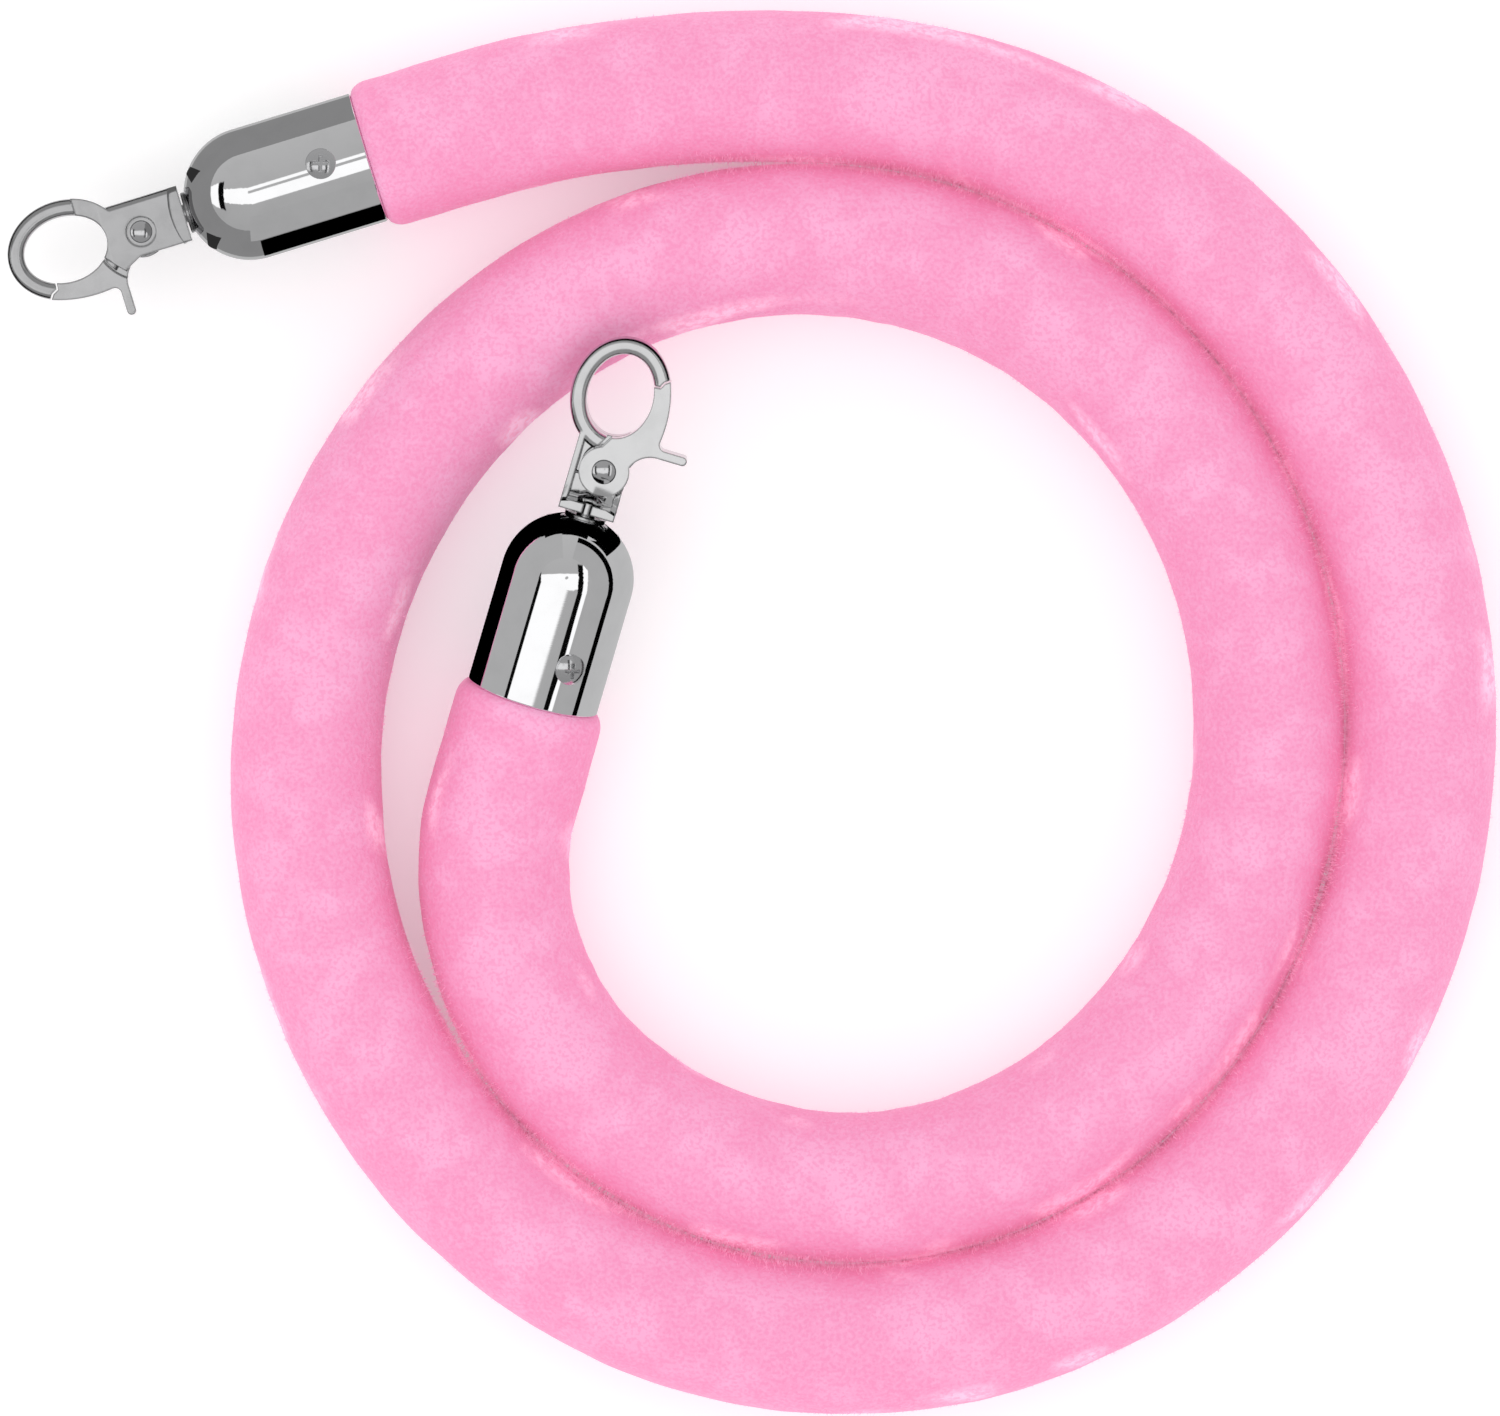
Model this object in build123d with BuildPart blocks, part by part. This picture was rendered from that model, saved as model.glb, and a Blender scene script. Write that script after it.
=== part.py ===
from build123d import *
from math import cos, pi, radians, sin, sqrt, tan
import os

# Velvet barrier rope lying coiled on a floor: a padded velvet rope with a steel
# end cap and a swivelling trigger snap hook at each end.
# Millimetres, +Z up, origin on the floor under the middle of the coil.

# Rope
rope_diameter = 32.0
velvet_thickness = 1.0
cord_diameter = 6.0
shoulder_length = 3.5  # the velvet rounds down to the cap's bore in this length

# Coil: an oval spiral, wound clockwise and inwards from end a to end b
turn_gap = 0.7
coil_center = (16.1, -9.2, 0.0)
coil_half_width = 4 * rope_diameter  # centre line at bearing 0, on the outer turn
coil_oval = 6.6  # extra half height of the oval
points_per_turn = 24
first_bearing = 97.5
last_bearing = -487.5

# Stretches between the coil and the two fittings, on the rope's centre line
route_a = [(-44.0, 128.4, 0.0), (-22.0, 131.6, 0.0)]
route_b = [(-45.2, -68.4, 0.0), (-51.6, -54.6, 0.0), (-54.9, -40.5, 0.0), (-54.6, -26.5, 0.4)]
mouth_a = (-81.3, 117.5, 0.0)
mouth_b = (-46.3, 2.6, 3.8)
heading_a = 197.0
heading_b = 73.5
pitch_b = 10.0  # this end rides up, with its hook over the inner turn
first_run = 16.0

# End cap
cap_diameter = 28.5
cap_wall = 0.9
cap_length = 40.0
cap_straight = 26.5
nose_diameter = 9.0
nose_thickness = 1.6
rim_round = 0.35
insert_depth = 20.0  # how far rope and plug reach into the cap
cap_clearance = 0.05

# Stopper knot
knot_diameter = 11.0
knot_length = 6.0
knot_face = 4.0  # radius of its flat ends

# Cap screws
screw_setback = 10.0
screw_diameter = 3.5
screw_head_diameter = 6.5
screw_head_height = 1.7
screw_reach = 6.5  # how near the screw's tip comes to the axis
screw_clearance = 0.1
recess_length = 3.4
recess_width = 0.75
recess_depth = 1.2
screw_roll_a = 4.0
screw_roll_b = 26.0

# Swivel stud, with its washers and nut
stud_diameter = 4.0
stud_head_diameter = 5.4
stud_head_height = 1.6
stud_tail = 0.8
washer_thickness = 0.8
outer_washer_diameter = 9.0
inner_washer_diameter = 8.0
nut_across_flats = 7.0
nut_thickness = 3.2
swivel_play = 0.3
running_fit = 0.08
bolt_clearance = 0.1

# Snap hook. Its own frame: x along the swivel axis from the cap's nose,
# z towards the front, and the gate on the -y side.
body_width = 12.2
base_thickness = 2.2
plate_back = -4.3
plate_thickness = 1.3
wall_thickness = 1.3
front_face = 2.0
edge_round = 1.2
rivet_x = 11.0
rivet_y = -1.15
eye_center_x = 27.5
eye_length = 18.2
eye_width = 14.0
ring_width = 3.6
ring_depth = 4.2
ring_round = 1.2

# Trigger gate
hub_diameter = 10.8
web_back = -0.8
hub_gap = 0.5
arm_gap = 0.4
rivet_diameter = 3.0
rivet_head_diameter = 5.2
rivet_head_height = 0.8
rivet_play = 0.3
countersink_diameter = 6.4
countersink_depth = 0.4
rivet_tail_gap = 0.8  # round the closed end, in its countersink
joint_gap = (0.32, 0.24)  # along and across, between the ring's end and the gate

# Gate spring
spring_wire = 0.5
spring_diameter = 4.6
spring_turns = 3
spring_leg = 5.0

# Worked out
rope_radius = rope_diameter / 2
cap_radius = cap_diameter / 2
neck_radius = cap_radius - cap_wall - cap_clearance
plug_radius = neck_radius - velvet_thickness
cord_radius = cord_diameter / 2
pitch = rope_diameter + turn_gap
spread = coil_half_width / 128  # the route's points are stated for a half width of 128
nut_top = nose_thickness + washer_thickness + nut_thickness
base_start = washer_thickness + swivel_play
base_end = base_start + base_thickness
head_start = base_end + swivel_play
ring_back = front_face - ring_depth
hub_radius = hub_diameter / 2
rivet = (rivet_x, rivet_y)
left_wall = 17.0  # lengths of the two side walls
right_wall = 6.5
gate_inner_radius = 10.2  # beyond this from the rivet the gate is as deep as the ring

# Outlines in the hook's frame
plate_outline = [
    (base_start, body_width / 2), (17.5, body_width / 2), (20.5, 3.0), (20.0, -4.45),
    (16.6, -8.15), (12.5, -body_width / 2), (base_start, -body_width / 2),
]
throat_outline = [(15.0, 8.0), (23.5, 11.0), (23.5, 3.0), (20.0, -4.45), (15.0, -4.45)]
throat_slope = [(18.6, plate_back), (24.0, plate_back), (24.0, ring_back)]

# The split between gate and ring is a small step
joint_line = [(31.2, -4.0), (31.5, -6.85), (31.6, -7.75), (32.8, -8.4), (33.4, -9.25), (34.6, -11.5)]
gate_side = joint_line + [(34.6, -20.0), (5.0, -20.0), (11.0, rivet_y), (19.5, -1.5)]
ring_side = joint_line + [(40.0, -11.5), (40.0, 0.0), (31.2, 0.0)]
pocket_outline = [(11.0, rivet_y), (16.0, 1.6), (19.4, -0.2), (25.0, -3.0), (25.0, -16.0), (11.0, -16.0)]

# The gate's outline, from the hub round under the lever to the split and back
gate_under = [(13.2, -6.05), (15.9, -8.05), (16.95, -11.05)]
lever_root = (16.95, -16.5)
lever_tip = [lever_root, (17.9, -17.45), (18.85, -16.5)]
gate_heel = [(18.85, -12.3), (19.3, -11.25), (20.6, -10.9)]
gate_back = (27.0, -10.95)
gate_end = (33.8, -9.3)
gate_inner = [(33.0, -5.0), (23.0, -3.5), (19.2, -1.2), (16.1, 0.65), rivet]

os.makedirs("parts", exist_ok=True)


def on_lay(point):
    """A stated point of the lay, opened out with the coil and lifted to the rope's middle."""
    x, y, z = point
    return Vector(x * spread, y * spread, z + rope_radius)


def fitting_plane(mouth, heading, pitch_up):
    """Plane at a cap's mouth: x outwards along its axis, z up."""
    h = radians(heading)
    p = radians(pitch_up)
    x_dir = (cos(h) * cos(p), sin(h) * cos(p), sin(p))
    z_dir = (-cos(h) * sin(p), -sin(h) * sin(p), cos(p))
    return Plane(origin=on_lay(mouth), x_dir=x_dir, z_dir=z_dir)


def main_axis(plane):
    return Axis(plane.origin, plane.x_dir)


def rolled(plane, angle):
    """The same plane turned about its own x axis."""
    z_dir = plane.z_dir.rotate(main_axis(plane), angle)
    return Plane(origin=plane.origin, x_dir=plane.x_dir, z_dir=z_dir)


def cross_plane(plane, x):
    """Plane square to a fitting's axis, x from its origin, facing outwards."""
    return Plane(origin=plane.from_local_coords((x, 0, 0)), z_dir=plane.x_dir)


def on_coil(bearing):
    """A point of the coil's centre line; the half width shrinks by a pitch each turn."""
    half_width = coil_half_width + pitch * bearing / 360
    half_height = half_width + coil_oval
    center = on_lay(coil_center)
    across = half_width * cos(radians(bearing))
    return center + Vector(across, half_height * sin(radians(bearing)), 0)


cap_plane_a = fitting_plane(mouth_a, heading_a, 0)
cap_plane_b = fitting_plane(mouth_b, heading_b, pitch_b)
caps = {"a": cap_plane_a, "b": cap_plane_b}
screw_rolls = {"a": screw_roll_a, "b": screw_roll_b}

# Hook a hangs turned half round, so its back is up
hook_rolls = {"a": 180, "b": 0}
hooks = {
    end: rolled(
        Plane(origin=p.from_local_coords((cap_length, 0, 0)), x_dir=p.x_dir, z_dir=p.z_dir),
        hook_rolls[end],
    )
    for end, p in caps.items()
}

# Route of the centre line, from shoulder to shoulder
coil_steps = round((first_bearing - last_bearing) * points_per_turn / 360)
route = [cap_plane_a.from_local_coords(Vector(-shoulder_length, 0, 0))]
route.append(cap_plane_a.from_local_coords(Vector(-first_run, 0, 0)))
route += [on_lay(p) for p in route_a]
for step in range(coil_steps + 1):
    route.append(on_coil(first_bearing - step * 360 / points_per_turn))
route += [on_lay(p) for p in route_b]
route.append(cap_plane_b.from_local_coords(Vector(-first_run, 0, 0)))
route.append(cap_plane_b.from_local_coords(Vector(-shoulder_length, 0, 0)))

radii = []
for before, point, after in zip(route, route[1:], route[2:]):
    shorter = min((point - before).length, (after - point).length)
    turn = (point - before).get_angle(after - point)
    radii.append(0.45 * shorter / tan(radians(turn / 2)))
print("bend radii:", [round(r) for r in radii])

with BuildLine() as centre_line:
    FilletPolyline(*route, radius=radii)
path = centre_line.wires()[0]
start_plane = Plane(origin=route[0], z_dir=route[1] - route[0])
print("rope between the shoulders:", round(path.length, 1))


def round_tube(radius):
    with BuildPart() as tube:
        with BuildSketch(start_plane):
            Circle(radius)
        sweep(path=path)
    return tube


def hollow_tube(outer_radius, inner_radius):
    """Tube along the whole route, closed by a flat ring at each end."""
    outer = round_tube(outer_radius)
    bore = round_tube(inner_radius)
    sides = [f for f in outer.faces() + bore.faces() if f.geom_type != GeomType.PLANE]
    outer_ends = outer.faces().filter_by(GeomType.PLANE).sort_by_distance(path @ 0)
    bore_ends = bore.faces().filter_by(GeomType.PLANE).sort_by_distance(path @ 0)
    rings = [Face(o.outer_wire(), [b.outer_wire()]) for o, b in zip(outer_ends, bore_ends)]
    return Solid(Shell(sides + rings))


def sleeve_neck():
    """Half section of the velvet where it necks down and runs into a cap."""
    inner_radius = rope_radius - velvet_thickness
    with BuildLine() as line:
        top = TangentArc((-shoulder_length, rope_radius), (0, neck_radius), tangent=(1, 0))
        Polyline(top @ 1, (insert_depth, neck_radius), (insert_depth, plug_radius), (0, plug_radius))
        low = TangentArc((-shoulder_length, inner_radius), (0, plug_radius), tangent=(1, 0))
        Line(low @ 0, top @ 0)
    return line.edges()


def foam_neck():
    """Half section of the foam where it necks down to the plug."""
    with BuildLine() as line:
        start = (-shoulder_length, rope_radius - velvet_thickness)
        top = TangentArc(start, (0, plug_radius), tangent=(1, 0))
        Polyline(top @ 1, (0, cord_radius), (-shoulder_length, cord_radius), top @ 0)
    return line.edges()


def screw_plane(end, side):
    """Plane on the cap's axis, with x outwards through one of its screws."""
    plane = rolled(caps[end], screw_rolls[end] + side)
    middle = plane.from_local_coords((screw_setback, 0, 0))
    return Plane(origin=middle, x_dir=plane.z_dir, z_dir=plane.x_dir)


def rivet_plane(hook):
    """Plane on the gate's pivot, with x towards the hook's front."""
    middle = hook.from_local_coords((rivet_x, rivet_y, 0))
    return Plane(origin=middle, x_dir=hook.z_dir, z_dir=hook.x_dir)


# Velvet sleeve
with BuildPart() as velvet_sleeve:
    add(hollow_tube(rope_radius, rope_radius - velvet_thickness))
    for end, plane in caps.items():
        with BuildSketch(plane):
            make_face(sleeve_neck())
        revolve(axis=main_axis(plane))
        for side in (0, 180):
            with BuildSketch(cross_plane(screw_plane(end, side), screw_reach)):
                Circle(screw_diameter / 2 + screw_clearance)
            extrude(amount=rope_radius, mode=Mode.SUBTRACT)
velvet_sleeve.part.label = "velvet_sleeve"
export_step(velvet_sleeve.part, "parts/velvet_sleeve.step")

# Foam core, from plug to plug
with BuildPart() as foam_core:
    add(hollow_tube(rope_radius - velvet_thickness, cord_radius))
    for plane in caps.values():
        with BuildSketch(plane):
            make_face(foam_neck())
        revolve(axis=main_axis(plane))
foam_core.part.label = "foam_core"
export_step(foam_core.part, "parts/foam_core.step")

# Core cord, knotted behind each plug
with BuildPart() as core_cord:
    with BuildSketch(start_plane):
        Circle(cord_radius)
    sweep(path=path)
    for plane in caps.values():
        with BuildSketch(cross_plane(plane, -shoulder_length)):
            Circle(cord_radius)
        extrude(amount=shoulder_length + insert_depth)
        with BuildSketch(plane):
            with BuildLine():
                knot_end = insert_depth + knot_length
                Polyline((knot_end, knot_face), (knot_end, 0), (insert_depth, 0), (insert_depth, knot_face))
                middle = (insert_depth + knot_length / 2, knot_diameter / 2)
                ThreePointArc((insert_depth, knot_face), middle, (knot_end, knot_face))
            make_face()
        revolve(axis=main_axis(plane))
core_cord.part.label = "core_cord"
export_step(core_cord.part, "parts/core_cord.step")

tube_volume = round_tube(cord_radius).part.volume
section = pi * cord_radius**2
print("cord volume and section x length:", round(tube_volume), round(section * path.length))


def make_end_cap(end, plane):
    """Spun steel cup: a straight wall, a round dome and a flat nose."""
    bore_radius = cap_radius - cap_wall
    rise = cap_length - cap_straight
    drop = cap_radius - nose_diameter / 2
    dome_radius = (rise**2 + drop**2) / (2 * drop)
    floor_x = cap_length - nose_thickness
    inner_dome = dome_radius - cap_wall
    floor_y = sqrt(inner_dome**2 - (floor_x - cap_straight) ** 2) + cap_radius - dome_radius
    with BuildPart() as cap:
        with BuildSketch(plane):
            with BuildLine():
                wall = Line((0, cap_radius), (cap_straight, cap_radius))
                dome = TangentArc(wall @ 1, (cap_length, nose_diameter / 2), tangent=(1, 0))
                Polyline(dome @ 1, (cap_length, 0), (0, 0), wall @ 0)
            make_face()
        revolve(axis=main_axis(plane))
        with BuildSketch(plane):
            with BuildLine():
                wall = Line((0, bore_radius), (cap_straight, bore_radius))
                dome = TangentArc(wall @ 1, (floor_x, floor_y), tangent=(1, 0))
                Polyline(dome @ 1, (floor_x, 0), (0, 0), wall @ 0)
            make_face()
        revolve(axis=main_axis(plane), mode=Mode.SUBTRACT)
        mouth_rings = cap.faces().sort_by_distance(plane.origin)[0].edges()
        fillet(mouth_rings.sort_by(SortBy.LENGTH)[-1], rim_round)
        with BuildSketch(cross_plane(plane, floor_x - nose_thickness)):
            Circle(stud_diameter / 2 + bolt_clearance)
        extrude(amount=3 * nose_thickness, mode=Mode.SUBTRACT)
        for side in (0, 180):
            with BuildSketch(cross_plane(screw_plane(end, side), screw_reach)):
                Circle(screw_diameter / 2 + screw_clearance)
            extrude(amount=rope_radius, mode=Mode.SUBTRACT)
    cap.part.label = f"end_cap_{end}"
    export_step(cap.part, f"parts/end_cap_{end}.step")


def make_end_plug(end, plane):
    """Wooden plug in the rope's end, bored for the cord and the two screws."""
    with BuildPart() as plug:
        with BuildSketch(cross_plane(plane, 0)):
            Circle(plug_radius)
            Circle(cord_radius, mode=Mode.SUBTRACT)
        extrude(amount=insert_depth)
        for side in (0, 180):
            with BuildSketch(cross_plane(screw_plane(end, side), screw_reach)):
                Circle(screw_diameter / 2)
            extrude(amount=rope_radius, mode=Mode.SUBTRACT)
    plug.part.label = f"end_plug_{end}"
    export_step(plug.part, f"parts/end_plug_{end}.step")


def make_cap_screws(end):
    """Two pan-head cross-recess screws, opposite each other."""
    shank = screw_diameter / 2
    head = screw_head_diameter / 2
    head_top = cap_radius + screw_head_height
    head_edge = cap_radius + screw_head_height * 0.35
    with BuildPart() as screws:
        for side in (0, 180):
            plane = screw_plane(end, side)
            with BuildSketch(plane):
                with BuildLine():
                    Polyline((head_top, 0), (screw_reach, 0), (screw_reach, shank), (cap_radius, shank),
                             (cap_radius, head), (head_edge, head))
                    TangentArc((head_top, 0), (head_edge, head), tangent=(0, 1))
                make_face()
            revolve(axis=main_axis(plane))
            with BuildSketch(cross_plane(plane, head_top - recess_depth)):
                Rectangle(recess_length, recess_width)
                Rectangle(recess_width, recess_length)
            extrude(amount=2 * recess_depth, mode=Mode.SUBTRACT)
    screws.part.label = f"cap_screws_{end}"
    export_step(screws.part, f"parts/cap_screws_{end}.step")


def make_swivel_stud(end, nose):
    """Headed stud through the hook's base, the cap's nose, two washers and the nut."""
    shank = stud_diameter / 2
    head = stud_head_diameter / 2
    tail = -nut_top - stud_tail
    head_end = head_start + stud_head_height
    with BuildPart() as stud:
        with BuildSketch(nose):
            with BuildLine():
                Polyline((head_end, 0), (tail, 0), (tail, shank), (head_start, shank), (head_start, head))
                rim = Line((head_start, head), (head_start + stud_head_height / 2, head))
                TangentArc((head_end, 0), rim @ 1, tangent=(0, 1))
            make_face()
        revolve(axis=main_axis(nose))
        chamfer(stud.faces().sort_by(main_axis(nose))[0].edges(), stud_tail / 2)
    stud.part.label = f"swivel_stud_{end}"
    export_step(stud.part, f"parts/swivel_stud_{end}.step")


def make_washer(name, nose, x, diameter):
    """Flat washer on the stud, from x outwards."""
    with BuildPart() as washer:
        with BuildSketch(cross_plane(nose, x)):
            Circle(diameter / 2)
            Circle(stud_diameter / 2 + bolt_clearance, mode=Mode.SUBTRACT)
        extrude(amount=washer_thickness)
        rims = washer.edges().filter_by(GeomType.CIRCLE).sort_by(SortBy.LENGTH)[-2:]
        fillet(rims, washer_thickness / 4)
    washer.part.label = name
    export_step(washer.part, f"parts/{name}.step")


def make_stud_nut(end, nose):
    """Hexagon nut on the stud's tail, inside the dome."""
    with BuildPart() as nut:
        with BuildSketch(cross_plane(nose, -nut_top)):
            RegularPolygon(nut_across_flats / 2, 6, major_radius=False)
            Circle(stud_diameter / 2, mode=Mode.SUBTRACT)
        extrude(amount=nut_thickness)
    nut.part.label = f"stud_nut_{end}"
    export_step(nut.part, f"parts/stud_nut_{end}.step")


def eye_ring(hook):
    """The hook's whole eye as a rounded oval ring."""
    with BuildPart() as ring:
        with BuildSketch(hook.offset(ring_back)):
            with Locations((eye_center_x, 0)):
                Ellipse(eye_length / 2 + ring_width, eye_width / 2 + ring_width)
                Ellipse(eye_length / 2, eye_width / 2, mode=Mode.SUBTRACT)
        extrude(amount=ring_depth)
        fillet(ring.edges().filter_by(GeomType.ELLIPSE), ring_round)
    return ring.part


def make_hook_body(end, hook):
    """Plate, side walls and base bar, running out into the fixed part of the eye."""
    half = body_width / 2
    side = half - wall_thickness / 2
    depth = front_face - plate_back
    pocket_back = web_back - arm_gap
    swing_radius = gate_inner_radius - arm_gap
    with BuildPart() as body:
        with BuildSketch(hook.offset(plate_back)):
            Polygon(*plate_outline, align=None)
        extrude(amount=plate_thickness)
        with BuildSketch(hook.offset(plate_back)):
            with Locations((base_start + base_thickness / 2, 0)):
                Rectangle(base_thickness, body_width)
            with Locations((base_start + left_wall / 2, side)):
                Rectangle(left_wall, wall_thickness)
            with Locations((base_start + right_wall / 2, -side)):
                Rectangle(right_wall, wall_thickness)
        extrude(amount=depth)
        corner = hook.from_local_coords((base_start + left_wall / 2, half, plate_back))
        fillet(body.edges().sort_by_distance(corner)[0], edge_round)
        with BuildSketch(hook.offset(plate_back)):
            with Locations((eye_center_x, 0)):
                Ellipse(eye_length / 2 + ring_width, eye_width / 2 + ring_width)
            Polygon(*throat_outline, align=None, mode=Mode.INTERSECT)
        extrude(amount=pocket_back - plate_back)
        slope = Plane(origin=hook.origin, x_dir=hook.x_dir, z_dir=-hook.y_dir)
        with BuildSketch(slope):
            Polygon(*throat_slope, align=None)
        extrude(amount=body_width, both=True, mode=Mode.SUBTRACT)
        add(eye_ring(hook))
        with BuildSketch(hook.offset(plate_back)):
            with Locations((eye_center_x, 0)):
                Ellipse(eye_length / 2, eye_width / 2)
        extrude(amount=depth, mode=Mode.SUBTRACT)
        with BuildSketch(hook.offset(plate_back)):
            Polygon(*[(x + joint_gap[0], y + joint_gap[1]) for x, y in gate_side], align=None)
            with Locations(rivet):
                Circle(swing_radius, mode=Mode.SUBTRACT)
        extrude(amount=depth, mode=Mode.SUBTRACT)
        with BuildSketch(hook.offset(pocket_back)):
            Polygon(*pocket_outline, align=None)
            with Locations(rivet):
                Circle(hub_radius + hub_gap)
        extrude(amount=depth, mode=Mode.SUBTRACT)
        with BuildSketch(cross_plane(hook, 0)):
            Circle(stud_diameter / 2 + running_fit)
        extrude(amount=head_start, mode=Mode.SUBTRACT)
        with BuildSketch(hook.offset(plate_back)):
            with Locations(rivet):
                Circle(countersink_diameter / 2)
        extrude(amount=countersink_depth, mode=Mode.SUBTRACT)
        with BuildSketch(hook.offset(plate_back)):
            with Locations(rivet):
                Circle(rivet_diameter / 2)
        extrude(amount=plate_thickness, mode=Mode.SUBTRACT)
    body.part.label = f"hook_body_{end}"
    export_step(body.part, f"parts/hook_body_{end}.step")


def make_trigger_gate(end, hook):
    """Gate: a hub on the rivet, the swinging part of the eye, and the thumb lever."""
    with BuildPart() as gate:
        with BuildSketch(hook.offset(web_back)) as outline:
            with BuildLine():
                under = ThreePointArc(*gate_under)
                Line(under @ 1, lever_root)
                tip = ThreePointArc(*lever_tip)
                Line(tip @ 1, gate_heel[0])
                heel = ThreePointArc(*gate_heel)
                back = ThreePointArc(heel @ 1, gate_back, gate_end)
                Polyline(back @ 1, *gate_inner, under @ 0)
            make_face()
            with Locations(rivet):
                Circle(hub_radius)
            with Locations((eye_center_x, 0)):
                Ellipse(eye_length / 2, eye_width / 2, mode=Mode.SUBTRACT)
            Polygon(*ring_side, align=None, mode=Mode.SUBTRACT)
        extrude(amount=front_face - web_back)
        with BuildSketch(hook.offset(ring_back)):
            add(outline.sketch_local)
            with Locations(rivet):
                Circle(gate_inner_radius, mode=Mode.SUBTRACT)
        extrude(amount=ring_depth)
        with BuildSketch(hook.offset(ring_back)):
            with Locations(rivet):
                Circle(rivet_diameter / 2 + running_fit)
        extrude(amount=ring_depth, mode=Mode.SUBTRACT)
    gate.part.label = f"trigger_gate_{end}"
    export_step(gate.part, f"parts/trigger_gate_{end}.step")


def make_gate_rivet(end, hook):
    """Rivet, domed at the front and closed into the plate's countersink."""
    shank = rivet_diameter / 2
    head = rivet_head_diameter / 2
    tail = countersink_diameter / 2 - rivet_tail_gap
    neck = plate_back + countersink_depth
    head_back = front_face + rivet_play
    head_top = head_back + rivet_head_height
    plane = rivet_plane(hook)
    with BuildPart() as pin:
        with BuildSketch(plane):
            with BuildLine():
                Polyline((head_top, 0), (neck - rivet_head_height, 0))
                TangentArc((neck - rivet_head_height, 0), (neck, tail), tangent=(0, 1))
                Polyline((neck, tail), (neck, shank), (head_back, shank), (head_back, head))
                TangentArc((head_top, 0), (head_back, head), tangent=(0, 1))
            make_face()
        revolve(axis=main_axis(plane))
    pin.part.label = f"gate_rivet_{end}"
    export_step(pin.part, f"parts/gate_rivet_{end}.step")


def make_gate_spring(end, hook):
    """Torsion spring round the rivet, between plate and gate, with one leg on the wall."""
    plane = rivet_plane(hook)
    coil = spring_diameter / 2
    first = plate_back + plate_thickness + spring_wire / 2
    wall = body_width / 2 - wall_thickness - rivet_y
    with BuildPart() as spring:
        for turn in range(spring_turns):
            with BuildSketch(plane):
                with Locations((first + turn * spring_wire * 0.9, coil)):
                    Circle(spring_wire / 2)
            revolve(axis=main_axis(plane))
        for x, reach in ((-coil, wall), (coil, -spring_leg)):
            foot = plane.from_local_coords((first + spring_wire * 0.9, 0, x))
            with BuildSketch(Plane(origin=foot, z_dir=hook.y_dir)):
                Circle(spring_wire / 2)
            extrude(amount=reach)
    spring.part.label = f"gate_spring_{end}"
    export_step(spring.part, f"parts/gate_spring_{end}.step")


for end, plane in caps.items():
    nose = Plane(origin=cross_plane(plane, cap_length).origin, x_dir=plane.x_dir, z_dir=plane.z_dir)
    hook = hooks[end]
    make_end_cap(end, plane)
    make_end_plug(end, plane)
    make_cap_screws(end)
    make_swivel_stud(end, nose)
    make_washer(f"swivel_washer_{end}", nose, 0, outer_washer_diameter)
    inner_face = -nose_thickness - washer_thickness
    make_washer(f"stud_washer_{end}", nose, inner_face, inner_washer_diameter)
    make_stud_nut(end, nose)
    make_hook_body(end, hook)
    make_trigger_gate(end, hook)
    make_gate_rivet(end, hook)
    make_gate_spring(end, hook)
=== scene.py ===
import bpy
import math
import numpy as np
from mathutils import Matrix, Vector, noise


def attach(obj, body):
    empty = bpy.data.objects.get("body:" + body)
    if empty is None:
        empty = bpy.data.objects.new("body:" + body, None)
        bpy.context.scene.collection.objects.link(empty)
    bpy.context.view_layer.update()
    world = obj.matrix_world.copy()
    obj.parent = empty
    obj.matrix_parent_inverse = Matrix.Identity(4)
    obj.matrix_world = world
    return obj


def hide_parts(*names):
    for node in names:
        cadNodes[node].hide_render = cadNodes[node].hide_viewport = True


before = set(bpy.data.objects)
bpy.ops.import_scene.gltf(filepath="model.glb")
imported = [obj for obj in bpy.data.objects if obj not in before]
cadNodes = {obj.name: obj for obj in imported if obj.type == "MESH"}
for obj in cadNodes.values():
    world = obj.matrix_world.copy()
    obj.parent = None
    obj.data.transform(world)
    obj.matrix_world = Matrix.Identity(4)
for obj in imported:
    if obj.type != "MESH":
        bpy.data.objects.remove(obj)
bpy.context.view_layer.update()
mm = 0.001

def makePiece(name, verts, faces, smooth=False):
    mesh = bpy.data.meshes.new(name)
    mesh.from_pydata([tuple(v) for v in verts], [], faces)
    mesh.polygons.foreach_set("use_smooth", [smooth] * len(mesh.polygons))
    mesh.update()
    piece = bpy.data.objects.new(name, mesh)
    bpy.context.scene.collection.objects.link(piece)
    return piece


# Camera, straight over the coil

cameraSetup = {
    "height": 3.0,
    "fieldWidth": 0.32,   # what the picture is wide at the rope's middle height
    "sensor": 36.0,
    "clip": (0.05, 20),
}


def makeCamera(setup, ropeHeight):
    data = bpy.data.cameras.new("camera")
    data.sensor_fit = "HORIZONTAL"
    data.sensor_width = setup["sensor"]
    data.lens = setup["sensor"] * (setup["height"] - ropeHeight) / setup["fieldWidth"]
    data.clip_start, data.clip_end = setup["clip"]
    camera = bpy.data.objects.new("camera", data)
    camera.location = (0, 0, setup["height"])
    bpy.context.scene.collection.objects.link(camera)
    bpy.context.scene.camera = camera


# The rope's route, the same one that the part is built on

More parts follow.
